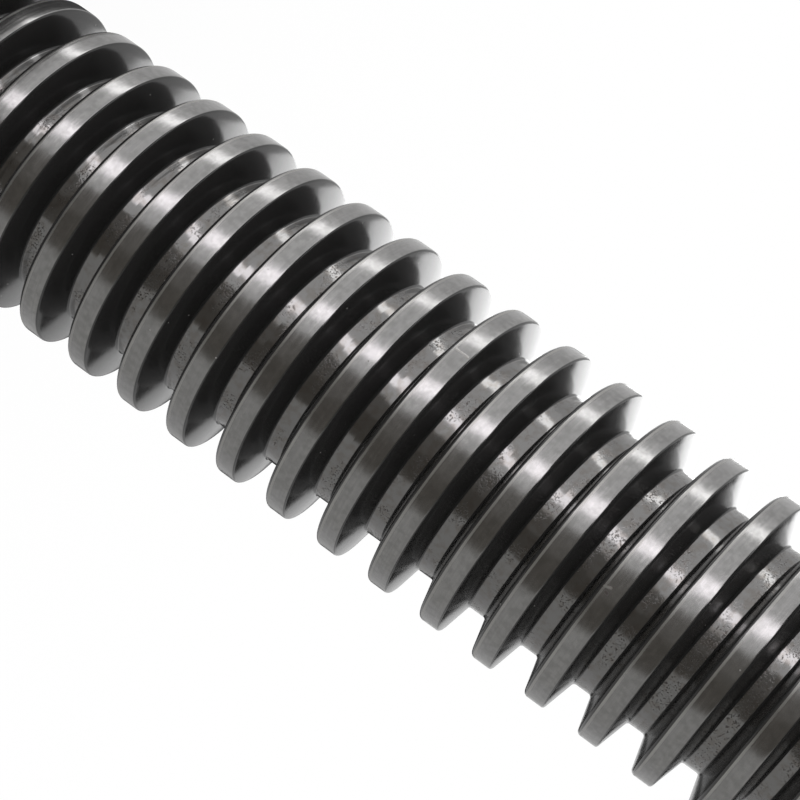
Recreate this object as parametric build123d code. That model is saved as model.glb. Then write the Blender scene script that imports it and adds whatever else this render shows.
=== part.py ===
from build123d import *
import math
import os

# A cut length of rolled trapezoidal lead screw, one start, left hand, standing on one end.
# The axis is +Z and the origin is the centre of the lower end face. Millimetres and degrees.

# Driving dimensions
MAJOR_DIAMETER = 24.0  # over the crests
PITCH = 5.0  # crest to crest, and the lead too, because there is one start
LENGTH = 100.0  # end face to end face
FLANK_ANGLE = 15.0  # between each flank and a plane across the axis
ROOT_CLEARANCE = 0.45  # depth of the groove beyond half a pitch
END_FACE_RELIEF = 0.25  # radius of the end faces below that of the root
CHAMFER_ANGLE = 45.0  # between the lead-in chamfers and the axis
LEFT_HAND = True

# Radii of the standard trapezoidal profile
CREST_RADIUS = MAJOR_DIAMETER / 2
PITCH_RADIUS = CREST_RADIUS - PITCH / 4
ROOT_RADIUS = CREST_RADIUS - PITCH / 2 - ROOT_CLEARANCE
END_FACE_RADIUS = ROOT_RADIUS - END_FACE_RELIEF

# The blank's barrel stays clear of the crests, so that it trims the ends alone
BLANK_RADIUS = CREST_RADIUS + PITCH / 4


def ridge_half_width(radius):
    """Half of the ridge's width along the axis: a quarter pitch at the pitch radius."""
    return PITCH / 4 - (radius - PITCH_RADIUS) * math.tan(math.radians(FLANK_ANGLE))


def ridge_corners(height):
    """The four corners of the ridge's section, as radius and height, going up the screw."""
    root_half = ridge_half_width(ROOT_RADIUS)
    crest_half = ridge_half_width(CREST_RADIUS)
    return [
        (ROOT_RADIUS, height - root_half),
        (CREST_RADIUS, height - crest_half),
        (CREST_RADIUS, height + crest_half),
        (ROOT_RADIUS, height + root_half),
    ]


def thread_section():
    """The corners over the +X axis, going up: whole pitches from below one end to above the other."""
    above_top = math.ceil(LENGTH / PITCH) + 1
    corners = []
    for ridge in range(-1, above_top):
        corners += ridge_corners(ridge * PITCH)
    corners.append(ridge_corners(above_top * PITCH)[0])
    return corners


def section_side(start, end):
    """A straight side of the section. Weights of one over the radius space its points so that a chord
    across a flank lies in the screw surface, and a coarse mesh follows it closely."""
    points = [(radius, 0, height) for radius, height in (start, end)]
    return Bezier(*points, weights=[1 / start[0], 1 / end[0]])


def end_step(corners):
    """The flat step where an end of the rod has come round: one pitch of the section, closed along the axis."""
    points = [(radius, 0, height) for radius, height in corners]
    bottom = (0, 0, corners[0][1])
    top = (0, 0, corners[-1][1])
    return make_face(Polyline(bottom, *points, top, close=True)).face()


def threaded_rod():
    """The section carried up one turn, which closes on itself, and a step at each end. It is longer
    than the screw at both ends."""
    corners = thread_section()
    foot_radius, foot = corners[0]
    top_radius, top = corners[-1]
    sides = [Line((0, 0, foot), (foot_radius, 0, foot))]
    sides += [section_side(start, end) for start, end in zip(corners, corners[1:])]
    sides.append(Line((top_radius, 0, top), (0, 0, top)))
    # The helix starts above the section, because a sweep begins at the end of its path that is nearer
    path = Edge.make_helix(PITCH, PITCH, CREST_RADIUS, center=(0, 0, top), lefthand=LEFT_HAND)
    turn = Solid.sweep(Wire(sides), path, make_solid=False, is_frenet=True)
    low_step = end_step(corners[:5])
    high_step = Pos(0, 0, top - foot) * low_step
    return Solid(Shell(turn.faces() + [low_step, high_step]))


def chamfered_blank():
    """A turned bar with a flat face and a lead-in chamfer at each end."""
    chamfer_height = (BLANK_RADIUS - END_FACE_RADIUS) / math.tan(math.radians(CHAMFER_ANGLE))
    outline = Polyline(
        (0, 0),
        (END_FACE_RADIUS, 0),
        (BLANK_RADIUS, chamfer_height),
        (BLANK_RADIUS, LENGTH - chamfer_height),
        (END_FACE_RADIUS, LENGTH),
        (0, LENGTH),
        close=True,
    )
    return revolve(Plane.XZ * make_face(outline), Axis.Z)


def lead_screw():
    """The screw: the threaded rod cut to length and chamfered."""
    return threaded_rod() & chamfered_blank()


os.makedirs("parts", exist_ok=True)
export_step(lead_screw(), "parts/lead_screw.step")
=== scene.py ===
import bmesh
import bpy
import math
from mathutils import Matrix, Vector


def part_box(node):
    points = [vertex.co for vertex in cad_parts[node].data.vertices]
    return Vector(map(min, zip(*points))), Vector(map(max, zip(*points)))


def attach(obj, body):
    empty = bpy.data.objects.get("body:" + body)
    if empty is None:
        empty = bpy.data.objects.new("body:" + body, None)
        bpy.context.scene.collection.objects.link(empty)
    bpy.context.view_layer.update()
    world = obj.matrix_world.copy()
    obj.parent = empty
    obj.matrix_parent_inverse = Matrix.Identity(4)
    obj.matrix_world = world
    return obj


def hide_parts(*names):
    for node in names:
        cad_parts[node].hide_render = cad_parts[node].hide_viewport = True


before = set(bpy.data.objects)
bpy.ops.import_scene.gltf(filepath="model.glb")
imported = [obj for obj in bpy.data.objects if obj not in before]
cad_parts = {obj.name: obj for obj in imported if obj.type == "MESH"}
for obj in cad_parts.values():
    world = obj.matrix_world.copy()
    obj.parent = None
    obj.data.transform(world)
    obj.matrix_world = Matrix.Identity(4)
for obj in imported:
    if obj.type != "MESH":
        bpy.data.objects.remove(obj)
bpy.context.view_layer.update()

# Lengths are in millimetres here, as in the part's source, and angles in degrees.
MM = 0.001

# The thread, as the CAD solid has it
TOP_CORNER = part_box("lead_screw")[1]
LENGTH = TOP_CORNER.z / MM
CREST_RADIUS = TOP_CORNER.x / MM
PITCH = 5.0
FLANK_ANGLE = 15.0
THREAD_DEPTH = 2.95
END_FACE_RELIEF = 0.25
PITCH_RADIUS = CREST_RADIUS - PITCH / 4
ROOT_RADIUS = CREST_RADIUS - THREAD_DEPTH
END_FACE_RADIUS = ROOT_RADIUS - END_FACE_RELIEF

# What the solid leaves out
LOWER_CREST_ROUNDING = 0.45
UPPER_CREST_ROUNDING = 0.24
ROOT_FILLET = 0.3
END_EDGE_ROUNDING = 0.15

# Fineness of the mesh
STEPS_A_TURN = 128
ARC_STEPS = 5
FLANK_STEPS = 4
CREST_STEPS = 3
HALF_ROOT_STEPS = 2
SPARE_TURNS = 1  # of thread beyond each end, before the ends are cut
MERGE_DISTANCE = 0.001  # points nearer than this become one
SHARP_ANGLE = 28.0  # edges that turn by more than this are shaded as sharp ones

# The steel's colours
BURNISHED_DARK = (0.28, 0.275, 0.275)
BURNISHED_LIGHT = (0.32, 0.315, 0.31)
BURNISHED_STAIN = (0.25, 0.247, 0.243)
ROOT_LIGHT = (0.215, 0.212, 0.21)
ROOT_DARK = (0.19, 0.18, 0.172)
FLANK_DARK = (0.017, 0.0167, 0.0163)
FLANK_LIGHT = (0.022, 0.0215, 0.021)
# The wear colour below also paints a highlight along the crest's lower edge
WEAR_AND_EDGE_HIGHLIGHT = (0.32, 0.312, 0.3)
RUST = (0.036, 0.026, 0.022)
DUST = (0.2, 0.195, 0.185)
TURNED_DARK = (0.3, 0.295, 0.29)
TURNED_LIGHT = (0.42, 0.415, 0.4)
TURNED_STAIN = (0.24, 0.22, 0.2)

# Its roughness, from the smoothest places to the roughest
CREST_ROUGHNESS = (0.14, 0.28)
ROOT_ROUGHNESS = (0.08, 0.2)
FLANK_ROUGHNESS = (0.1, 0.19)
TURNED_ROUGHNESS = (0.22, 0.38)
WEAR_AND_HIGHLIGHT_ROUGHNESS = 0.35
RUST_ROUGHNESS = 0.55
FINE_ROUGHNESS = (-0.02, 0.02)  # added everywhere on the thread

# Its relief
STREAK_HEIGHT = 0.0015
PATCH_HEIGHT = 0.03
WAVE_HEIGHT = 0.7
GRAIN_HEIGHT = 0.002
MARK_HEIGHT = 0.014  # of the scratch, and depth of the pits
RING_HEIGHT = 0.01
RELIEF_STRENGTH = 0.6
FLANK_STRENGTH = 0.1  # the flanks' skin is smooth

# Where the finishes change on the thread
CREST_EDGE = (-0.045, -0.02)  # from the crest's radius
ROOT_EDGE = (0.004, 0.02)  # from the root's radius
EDGE_WANDER = (-0.006, 0.006)
# The band of wear along the crest's lower edge is partly a painted highlight
WORN_HIGHLIGHT_RISE = (-0.17, -0.09)  # across the thread, from the lower edge of the crest
WORN_HIGHLIGHT_FALL = (0.0, 0.12)
METAL_EDGE = (0.0, 0.25)  # shares of crest or root where the metal's shine starts and is full
PITS_GROW = (60.0, 85.0)  # heights between which the pitted areas grow
PITS_ADDED = 0.1  # to the level of the areas' noise at the upper height

# Levels of the noises where each of their patterns starts and is full
STREAK_LEVELS = (0.3, 0.7)
STAIN_LEVELS = (0.35, 0.7)
ROOT_STAIN_LEVELS = (0.42, 0.66)
WORN_HIGHLIGHT_LEVELS = (0.35, 0.6)
PIT_LEVELS = (0.52, 0.66)
PIT_AREA_LEVELS = (0.48, 0.6)
RING_LEVELS = (0.3, 0.7)
TURNED_STAIN_LEVELS = (0.5, 0.8)

# Wear with a painted highlight on the crest's lower edge, rust and dust
WORN_HIGHLIGHT_SHARE = (0.5, 1.0)  # of the crest edge's wear colour, partly a painted highlight, where it is faintest and where it is full
WEAR_AND_HIGHLIGHT_DULLNESS = 0.18
RUST_IN_PITS = 0.6
RUST_DULLNESS = (0.4, 1.0)  # shares of rust where the metal's shine starts to go and is gone
DUST_SCALE = 0.8  # cells in a millimetre
DUST_FREE = 0.8  # share of the cells without a speck
DUST_EDGE = (0.035, 0.07)  # from the middle of the cell, in cells

# Marks on single ridges: their two ends, and how far they reach sideways
SCRATCH = ((-6.0, -10.39, 56.19), (-5.99, -10.4, 57.28), 0.14)
DENT = ((1.91, -11.85, 75.5), (1.76, -11.87, 75.96), 0.16)
DARK_PIT = ((2.2, -11.79, 75.8), (2.25, -11.79, 75.95), 0.2)

# The camera, found from the photograph and placed from the centre of the lower end face
CAMERA_PLACE = (5.556, -182.895, 93.12)
CAMERA_TURN = (-69.170, -52.664, 165.176)
LENS = 107.2

# Studio cards that show in the steel
CARD_DISTANCE = 40.0
CARD_TOP = 130.0
CARD_STEPS = 48
CANOPY_HEIGHT = 170.0
CANOPY_REACH = 228.0
CANOPY_MIDDLE = 30.0
APRON_HEIGHT = 0.5
BACKDROP_DISTANCE = 400.0
BACKDROP_TOP = 300.0
LOW_BACKDROP_TOP = 134.0
BACKDROP_GAP = 5.0
CANOPY_HOLE = 0.1  # so that no face of the middle card ends in a point
FLOOR_HALF = 2000.0
FLOOR_WHITE = 0.8  # share of plain white in the floor as it is seen, where the rest keeps the shadow


# Mesh of the screw

def ridge_half_width(radius):
    """Half of the ridge's width along the axis, at this radius."""
    return PITCH / 4 - (radius - PITCH_RADIUS) * math.tan(math.radians(FLANK_ANGLE))


def rounded(corner, before, after, radius):
    """The points of the arc that rounds a corner between its two neighbours."""
    corner = Vector(corner)
    u = (Vector(before) - corner).normalized()
    v = (Vector(after) - corner).normalized()
    half = u.angle(v) / 2
    centre = corner + (u + v).normalized() * radius / math.sin(half)
    reach = radius / math.tan(half)
    first = corner + u * reach - centre
    last = corner + v * reach - centre
    # The directions that slerp gives have a length of 1
    return [centre + radius * first.slerp(last, i / ARC_STEPS) for i in range(ARC_STEPS + 1)]


def between(start, end, steps):
    """Points that divide a straight line, without its ends."""
    return [start.lerp(end, i / steps) for i in range(1, steps)]


def ridge_section():
    """One pitch of the section, as height and radius, from the middle of one groove to the next."""
    root_half = ridge_half_width(ROOT_RADIUS)
    crest_half = ridge_half_width(CREST_RADIUS)
    corners = [
        (-PITCH / 2, ROOT_RADIUS),
        (-root_half, ROOT_RADIUS),
        (-crest_half, CREST_RADIUS),
        (crest_half, CREST_RADIUS),
        (root_half, ROOT_RADIUS),
        (PITCH / 2, ROOT_RADIUS),
    ]
    roundings = [ROOT_FILLET, LOWER_CREST_ROUNDING, UPPER_CREST_ROUNDING, ROOT_FILLET]
    runs = [[Vector(corners[0])]]
    for before, corner, after, radius in zip(corners, corners[1:], corners[2:], roundings):
        runs.append(rounded(corner, before, after, radius))
    runs.append([Vector(corners[-1])])
    steps = [HALF_ROOT_STEPS, FLANK_STEPS, CREST_STEPS, FLANK_STEPS, HALF_ROOT_STEPS]
    points = runs[0]
    for run, count in zip(runs[1:], steps):
        points = points + between(points[-1], run[0], count) + run
    return points


def lengths_along(points):
    """How far each point is from the first one, along the line."""
    lengths = [0.0]
    for a, b in zip(points, points[1:]):
        lengths.append(lengths[-1] + (b - a).length)
    return lengths


SECTION = ridge_section()
ACROSS = lengths_along(SECTION)
ON_CREST = [point.y > CREST_RADIUS - MERGE_DISTANCE for point in SECTION]
CREST_START = ACROSS[ON_CREST.index(True)]


def on_turn(radius, column, height):
    """A point at this column of the mesh, in metres."""
    angle = -2 * math.pi * column / STEPS_A_TURN
    return radius * math.cos(angle) * MM, radius * math.sin(angle) * MM, height * MM


def finished_mesh(work, name):
    """The mesh that was worked on, with all its faces turned outwards."""
    bmesh.ops.recalc_face_normals(work, faces=work.faces)
    mesh = bpy.data.meshes.new(name)
    work.to_mesh(mesh)
    work.free()
    return mesh


def threaded_bar():
    """A closed mesh of the thread, longer than the screw at both ends. Its UV map runs along and across
    the thread."""
    work = bmesh.new()
    layer = work.loops.layers.uv.new("Thread")
    turns = math.ceil(LENGTH / PITCH) + 2 * SPARE_TURNS
    columns = []
    for column in range(turns * STEPS_A_TURN + 1):
        base = (column / STEPS_A_TURN - SPARE_TURNS) * PITCH
        points = [on_turn(radius, column, base + height) for height, radius in SECTION]
        columns.append([work.verts.new(point) for point in points])
    length_step = 2 * math.pi * PITCH_RADIUS / STEPS_A_TURN
    for column, (here, there) in enumerate(zip(columns, columns[1:])):
        for row in range(len(SECTION) - 1):
            face = work.faces.new((here[row], here[row + 1], there[row + 1], there[row]))
            for loop, (step, side) in zip(face.loops, ((0, 0), (0, 1), (1, 1), (1, 0))):
                loop[layer].uv = ((column + step) * length_step * MM, ACROSS[row + side] * MM)
    # Each turn's last row lies on the next turn's first one
    bmesh.ops.remove_doubles(work, verts=work.verts, dist=MERGE_DISTANCE * MM)
    beyond = (SPARE_TURNS + 1) * PITCH
    low_tip = work.verts.new((0, 0, -beyond * MM))
    high_tip = work.verts.new((0, 0, (LENGTH + beyond) * MM))
    for edge in [edge for edge in work.edges if edge.is_boundary]:
        a, b = edge.verts
        work.faces.new((a, b, high_tip if a.co.z > LENGTH / 2 * MM else low_tip))
    return finished_mesh(work, "threaded_bar")


def turned_blank():
    """A closed mesh of the bar that cuts the thread to length, with a chamfer at each end."""
    outer = CREST_RADIUS + PITCH / 4
    rise = outer - END_FACE_RADIUS
    low_half = rounded((0, END_FACE_RADIUS), (0, 0), (rise, outer), END_EDGE_ROUNDING)
    low_half.append(Vector((rise, outer)))
    outline = low_half + [Vector((LENGTH - height, radius)) for height, radius in reversed(low_half)]
    work = bmesh.new()
    rings = [
        [work.verts.new(on_turn(radius, column, height)) for column in range(STEPS_A_TURN)]
        for height, radius in outline
    ]
    for ring, above in zip(rings, rings[1:]):
        for i in range(STEPS_A_TURN):
            work.faces.new((ring[i - 1], ring[i], above[i], above[i - 1]))
    work.faces.new(rings[0])
    work.faces.new(rings[-1])
    return finished_mesh(work, "turned_blank")


def screw_piece(thread_steel, turned_steel):
    """The whole screw: the threaded bar cut by the turned blank."""
    bar = bpy.data.objects.new("lead_screw_steel", threaded_bar())
    bar.data.materials.append(thread_steel)
    bar.data.materials.append(turned_steel)
    blank = bpy.data.objects.new("turned_blank", turned_blank())
    blank.data.materials.append(turned_steel)
    for obj in (bar, blank):
        bpy.context.scene.collection.objects.link(obj)
    cut = bar.modifiers.new("cut", "BOOLEAN")
    cut.operation = "INTERSECT"
    cut.solver = "MANIFOLD"
    cut.material_mode = "TRANSFER"
    cut.object = blank
    graph = bpy.context.evaluated_depsgraph_get()
    result = bpy.data.meshes.new_from_object(bar.evaluated_get(graph))
    bar.modifiers.clear()
    bar.data = result
    bpy.data.objects.remove(blank)
    # The cut leaves points that all but coincide
    work = bmesh.new()
    work.from_mesh(result)
    bmesh.ops.remove_doubles(work, verts=work.verts, dist=MERGE_DISTANCE * MM)
    work.to_mesh(result)
    work.free()
    result.polygons.foreach_set("use_smooth", [True] * len(result.polygons))
    result.set_sharp_from_angle(angle=math.radians(SHARP_ANGLE))
    return bar


# Materials

class Nodes:
    """Short calls for the nodes of one material. Sizes in them are in millimetres."""

    def __init__(self, name):
        self.material = bpy.data.materials.new(name)
        self.material.use_nodes = True
        self.tree = self.material.node_tree
        self.tree.nodes.clear()

    def add(self, kind, inputs=(), **settings):
        """A node with these settings. Each input is another node's output or a plain value."""
        node = self.tree.nodes.new("ShaderNode" + kind)
        for key, value in settings.items():
            setattr(node, key, value)
        for key, value in dict(inputs).items():
            if isinstance(value, bpy.types.NodeSocket):
                self.tree.links.new(value, node.inputs[key])
            else:
                node.inputs[key].default_value = value
        return node

    def math(self, operation, *values):
        """The result of an operation on numbers."""
        return self.add("Math", dict(enumerate(values)), operation=operation).outputs[0]

    def vector(self, operation, *values, result="Vector"):
        """The result of an operation on vectors."""
        return self.add("VectorMath", dict(enumerate(values)), operation=operation).outputs[result]

    def step(self, value, start, end):
        """Rises smoothly from 0 to 1 as the value goes from start to end."""
        ends = {"Value": value, "From Min": start, "From Max": end}
        return self.add("MapRange", ends, interpolation_type="SMOOTHSTEP").outputs["Result"]

    def less(self, value):
        """1 minus the value."""
        return self.math("SUBTRACT", 1.0, value)

    def band(self, value, rise, fall):
        """1 between two soft edges, each given by where it starts and ends."""
        return self.math("MULTIPLY", self.step(value, *rise), self.less(self.step(value, *fall)))

    def scaled(self, value, start, end):
        """Turns 0 to 1 into start to end."""
        return self.add("MapRange", {"Value": value, "To Min": start, "To Max": end}).outputs["Result"]

    def mix(self, factor, first, second):
        """A mix of two colours, which are the node's inputs 6 and 7."""
        node = self.add("Mix", {"Factor": factor}, data_type="RGBA")
        for index, colour in ((6, first), (7, second)):
            if isinstance(colour, bpy.types.NodeSocket):
                self.tree.links.new(colour, node.inputs[index])
            else:
                node.inputs[index].default_value = (*colour, 1)
        return node.outputs[2]

    def blend(self, factor, first, second):
        """A mix of two numbers, which are the node's inputs 2 and 3."""
        return self.add("Mix", {"Factor": factor, 2: first, 3: second}, data_type="FLOAT").outputs[0]

    def noise(self, vector, scale, detail=2.0, roughness=0.5):
        """Noise from about 0 to 1. The scale says how many lumps it has in each unit of the vector."""
        inputs = {"Vector": vector, "Scale": scale, "Detail": detail, "Roughness": roughness}
        return self.add("TexNoise", inputs).outputs["Fac"]

    def drawn_noise(self, unrolled, along, across, detail=2.0):
        """Noise with one scale along the thread and another across it."""
        return self.noise(self.vector("MULTIPLY", unrolled, (along, across, 0)), 1.0, detail)

    def total(self, *values):
        """The sum of two or more values."""
        result = values[0]
        for value in values[1:]:
            result = self.math("ADD", result, value)
        return result

    def highest(self, *values):
        """The highest of two or more values."""
        result = values[0]
        for value in values[1:]:
            result = self.math("MAXIMUM", result, value)
        return result

    def place(self):
        """The place on the object."""
        coordinates = self.add("TexCoord").outputs["Object"]
        return self.vector("MULTIPLY", coordinates, (1 / MM, 1 / MM, 1 / MM))

    def radius(self, place):
        """The distance from the screw's axis."""
        return self.vector("LENGTH", self.vector("MULTIPLY", place, (1, 1, 0)), result="Value")

    def mark(self, place, start, end, reach):
        """1 on a straight mark between two points of the surface, with soft sides."""
        span = Vector(end) - Vector(start)
        offset = self.vector("SUBTRACT", place, start)
        share = self.vector("DOT_PRODUCT", offset, tuple(span / span.length_squared), result="Value")
        share = self.math("MINIMUM", self.math("MAXIMUM", share, 0.0), 1.0)
        nearest = self.add("VectorMath", {0: tuple(span), "Scale": share}, operation="SCALE").outputs[0]
        distance = self.vector("DISTANCE", offset, nearest, result="Value")
        return self.less(self.step(distance, reach / 4, reach))

    def finish(self, shader):
        """The material, with this shader on its surface."""
        self.add("OutputMaterial", {"Surface": shader.outputs[0]})
        return self.material


def thread_material():
    """Rolled steel: burnished on the crests and in the roots, with a black skin on the flanks."""
    n = Nodes("dark_thread_steel")
    place = n.place()
    unrolled = n.vector("MULTIPLY", n.add("UVMap", uv_map="Thread").outputs["UV"], (1 / MM, 1 / MM, 0))
    across = n.add("SeparateXYZ", {0: unrolled}).outputs[1]

    fine = n.noise(place, 6.0, detail=3)
    grain = n.noise(place, 3.0, detail=4, roughness=0.6)
    mottle = n.noise(place, 1.6, detail=4)
    pit_field = n.noise(place, 6.0, detail=3, roughness=0.6)
    cloud = n.noise(place, 0.35)
    streak = n.drawn_noise(unrolled, 0.06, 5.0, detail=3)
    patch = n.drawn_noise(unrolled, 0.25, 1.2)
    wave = n.drawn_noise(unrolled, 0.1, 0.03, detail=1)

    # Where the surface is crest, root or between them
    radius = n.math("ADD", n.radius(place), n.scaled(mottle, *EDGE_WANDER))
    crest = n.step(radius, *(CREST_RADIUS + depth for depth in CREST_EDGE))
    root = n.less(n.step(radius, *(ROOT_RADIUS + depth for depth in ROOT_EDGE)))

    # The lower edge of the crest is lighter and rougher, unevenly: partly wear, partly a painted
    # highlight along the rounded edge. A scratch and a dent are rubbed bright.
    rise = [CREST_START + distance for distance in WORN_HIGHLIGHT_RISE]
    fall = [CREST_START + distance for distance in WORN_HIGHLIGHT_FALL]
    patchy = n.step(patch, *WORN_HIGHLIGHT_LEVELS)
    wear_and_highlight = n.math("MULTIPLY", n.band(across, rise, fall), n.scaled(patchy, *WORN_HIGHLIGHT_SHARE))
    scratch = n.mark(place, *SCRATCH)
    wear_and_highlight = n.highest(wear_and_highlight, scratch, n.mark(place, *DENT))

    # Fine pits with rust in parts of the roots, in more of them towards the top
    towards_top = n.step(n.add("SeparateXYZ", {0: place}).outputs[2], *PITS_GROW)
    pit_area = n.step(n.math("ADD", cloud, n.scaled(towards_top, 0.0, PITS_ADDED)), *PIT_AREA_LEVELS)
    pitted = n.math("MULTIPLY", n.math("MULTIPLY", n.step(pit_field, *PIT_LEVELS), pit_area), root)
    rusty = n.highest(n.math("MULTIPLY", pitted, RUST_IN_PITS), n.mark(place, *DARK_PIT))

    # Some of the cells have a speck of dust in the middle
    cells = n.add("TexVoronoi", {"Vector": place, "Scale": DUST_SCALE}).outputs
    chosen = n.math("GREATER_THAN", n.add("SeparateColor", {0: cells["Color"]}).outputs[0], DUST_FREE)
    dust = n.math("MULTIPLY", n.less(n.step(cells["Distance"], *DUST_EDGE)), chosen)

    burnished = n.mix(n.step(streak, *STREAK_LEVELS), BURNISHED_DARK, BURNISHED_LIGHT)
    burnished = n.mix(n.step(mottle, *STAIN_LEVELS), burnished, BURNISHED_STAIN)
    colour = n.mix(crest, n.mix(fine, FLANK_DARK, FLANK_LIGHT), burnished)
    root_colour = n.mix(n.step(mottle, *ROOT_STAIN_LEVELS), ROOT_LIGHT, ROOT_DARK)
    colour = n.mix(root, colour, root_colour)
    # Along the crest's lower edge this lighter wear colour is partly a painted highlight
    colour = n.mix(wear_and_highlight, colour, WEAR_AND_EDGE_HIGHLIGHT)
    colour = n.mix(rusty, colour, RUST)
    colour = n.mix(dust, colour, DUST)

    # The flanks' skin, rust and dust aren't metal, and the rubbed crest edge, partly a painted
    # highlight, is too rough to shine like it. The metal is full before its colour is, so that no light
    # line shows along its border.
    metal = n.step(n.highest(crest, root, wear_and_highlight), *METAL_EDGE)
    dull = n.highest(n.step(rusty, *RUST_DULLNESS), dust, n.math("MULTIPLY", wear_and_highlight, WEAR_AND_HIGHLIGHT_DULLNESS))
    metal = n.math("MULTIPLY", metal, n.less(dull))

    roughness = n.blend(crest, n.scaled(mottle, *FLANK_ROUGHNESS), n.scaled(streak, *CREST_ROUGHNESS))
    roughness = n.blend(root, roughness, n.scaled(mottle, *ROOT_ROUGHNESS))
    roughness = n.blend(wear_and_highlight, roughness, WEAR_AND_HIGHLIGHT_ROUGHNESS)
    roughness = n.blend(rusty, roughness, RUST_ROUGHNESS)
    roughness = n.math("ADD", roughness, n.scaled(fine, *FINE_ROUGHNESS))

    relief = n.total(
        n.math("MULTIPLY", streak, STREAK_HEIGHT),
        n.math("MULTIPLY", patch, PATCH_HEIGHT),
        n.math("MULTIPLY", wave, WAVE_HEIGHT),
        n.math("MULTIPLY", grain, GRAIN_HEIGHT),
        n.math("MULTIPLY", n.math("SUBTRACT", scratch, pitted), MARK_HEIGHT),
    )
    strength = n.scaled(n.highest(crest, root), FLANK_STRENGTH, RELIEF_STRENGTH)
    bump = n.add("Bump", {"Height": relief, "Distance": MM, "Strength": strength}).outputs[0]

    return n.finish(n.add("BsdfPrincipled", {
        "Base Color": colour,
        "Metallic": metal,
        "Roughness": roughness,
        "Normal": bump,
    }))


def turned_material():
    """The sawn and turned ends: brighter steel with fine rings."""
    n = Nodes("turned_end_steel")
    place = n.place()
    ring_inputs = {"W": n.radius(place), "Scale": 9.0, "Detail": 3.0}
    rings = n.add("TexNoise", ring_inputs, noise_dimensions="1D").outputs["Fac"]
    mottle = n.noise(place, 0.9, detail=3)
    colour = n.mix(n.step(rings, *RING_LEVELS), TURNED_DARK, TURNED_LIGHT)
    colour = n.mix(n.step(mottle, *TURNED_STAIN_LEVELS), colour, TURNED_STAIN)
    relief = {"Height": rings, "Distance": RING_HEIGHT * MM, "Strength": RELIEF_STRENGTH}
    return n.finish(n.add("BsdfPrincipled", {
        "Base Color": colour,
        "Metallic": 1.0,
        "Roughness": n.scaled(rings, *TURNED_ROUGHNESS),
        "Normal": n.add("Bump", relief).outputs[0],
    }))


screw = screw_piece(thread_material(), turned_material())
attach(screw, "root")
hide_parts("lead_screw")


# Floor, studio cards and camera

def stage_mesh(name, points, faces, material):
    """A mesh that isn't part of the object."""
    mesh = bpy.data.meshes.new(name)
    mesh.from_pydata([Vector(point) * MM for point in points], [], faces)
    mesh.materials.append(material)
    obj = bpy.data.objects.new(name, mesh)
    bpy.context.scene.collection.objects.link(obj)
    return obj


def reflector(name, points, faces, colour):
    """A shining studio card that is seen in the steel alone."""
    n = Nodes(name)
    obj = stage_mesh(name, points, faces, n.finish(n.add("Emission", {"Color": (*colour, 1)})))
    obj.visible_camera = False
    obj.visible_diffuse = False
    obj.visible_shadow = False
    obj.visible_transmission = False


def card(name, first, last, colour, low=(CARD_DISTANCE, 0.0), high=(CARD_DISTANCE, CARD_TOP)):
    """A card round the screw. Its angles go from the camera towards -X, and each of its two long edges
    is given by its distance from the axis and its height."""
    points = []
    for i in range(CARD_STEPS + 1):
        angle = math.radians(first + (last - first) * i / CARD_STEPS)
        for distance, height in (low, high):
            points.append((-distance * math.sin(angle), -distance * math.cos(angle), height))
    faces = [(2 * i, 2 * i + 1, 2 * i + 3, 2 * i + 2) for i in range(CARD_STEPS)]
    reflector(name, points, faces, colour)


def far_card(name, first, last, colour, distance, top):
    """An upright card at this distance from the axis."""
    card(name, first, last, colour, low=(distance, 0.0), high=(distance, top))


def level_card(name, first, last, colour, height, inner, outer):
    """A level card between two distances from the axis."""
    card(name, first, last, colour, low=(inner, height), high=(outer, height))


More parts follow.
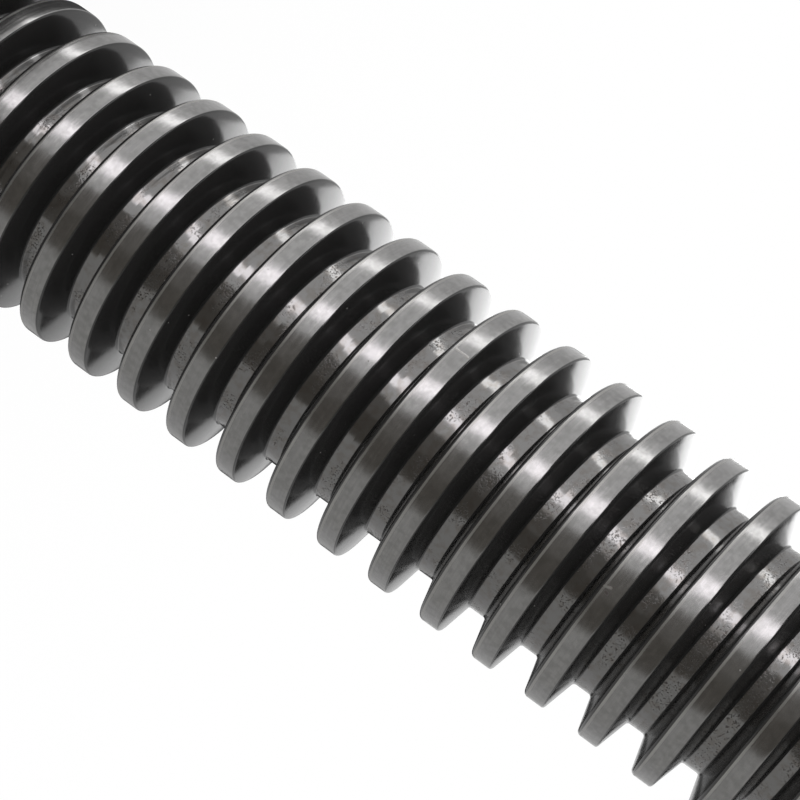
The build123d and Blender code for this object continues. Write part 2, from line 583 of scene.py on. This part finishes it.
card("strip_near", 15, 26, (3.4, 3.3, 3.4))
card("strip_side", 67, 77, (3.4, 3.4, 3.4))
card("side_card", 90, 145, (0.8, 0.8, 0.8))
card("dim_flag", -19, 2, (0.24, 0.23, 0.215))
card("dark_flag", -45, -19, (0.155, 0.145, 0.13))
card("grey_flag", -105, -45, (0.53, 0.53, 0.52))
card("pale_flag", -148, -105, (0.55, 0.55, 0.55))
far_card("backdrop_light", 150, 180, (2.9, 2.9, 2.9), BACKDROP_DISTANCE, BACKDROP_TOP)
far_card("backdrop_grey", 180, 215, (0.8, 0.8, 0.8), BACKDROP_DISTANCE, LOW_BACKDROP_TOP)
far_card("backdrop_dark", 180, 215, (0.03, 0.03, 0.03), BACKDROP_DISTANCE + BACKDROP_GAP, BACKDROP_TOP)
level_card("far_apron", 165, 215, (0.04, 0.04, 0.04), APRON_HEIGHT, CARD_DISTANCE, BACKDROP_DISTANCE)
level_card("apron", -180, 180, (0.08, 0.08, 0.08), APRON_HEIGHT, CREST_RADIUS, CARD_DISTANCE)
level_card("canopy", -180, 180, (0.035, 0.035, 0.035), CANOPY_HEIGHT, CANOPY_MIDDLE, CANOPY_REACH)
level_card("canopy_middle", -180, 180, (0.3, 0.3, 0.3), CANOPY_HEIGHT, CANOPY_HOLE, CANOPY_MIDDLE)

n = Nodes("pale_floor")
rays = n.add("LightPath").outputs
seen = n.highest(rays["Is Camera Ray"], rays["Is Glossy Ray"], rays["Is Transmission Ray"])
matt = n.add("BsdfDiffuse", {"Color": (1, 1, 1, 1)})
white = n.add("Emission", {"Color": (1, 1, 1, 1)})
floor_mix = {0: n.math("MULTIPLY", seen, FLOOR_WHITE), 1: matt.outputs[0], 2: white.outputs[0]}
corners = [(x * FLOOR_HALF, y * FLOOR_HALF, 0) for x, y in ((-1, -1), (1, -1), (1, 1), (-1, 1))]
stage_mesh("floor", corners, [(0, 1, 2, 3)], n.finish(n.add("MixShader", floor_mix)))

world = bpy.data.worlds.new("studio")
bpy.context.scene.world = world
world.use_nodes = True
background = world.node_tree.nodes["Background"].inputs
background["Color"].default_value = (1, 1, 1, 1)
background["Strength"].default_value = 1.0

camera_data = bpy.data.cameras.new("camera")
camera_data.lens = LENS
camera_data.clip_start = 10 * MM
camera = bpy.data.objects.new("camera", camera_data)
bpy.context.scene.collection.objects.link(camera)
camera.location = Vector(CAMERA_PLACE) * MM
camera.rotation_euler = [math.radians(a) for a in CAMERA_TURN]
bpy.context.scene.camera = camera
bpy.context.scene.view_settings.view_transform = "Standard"
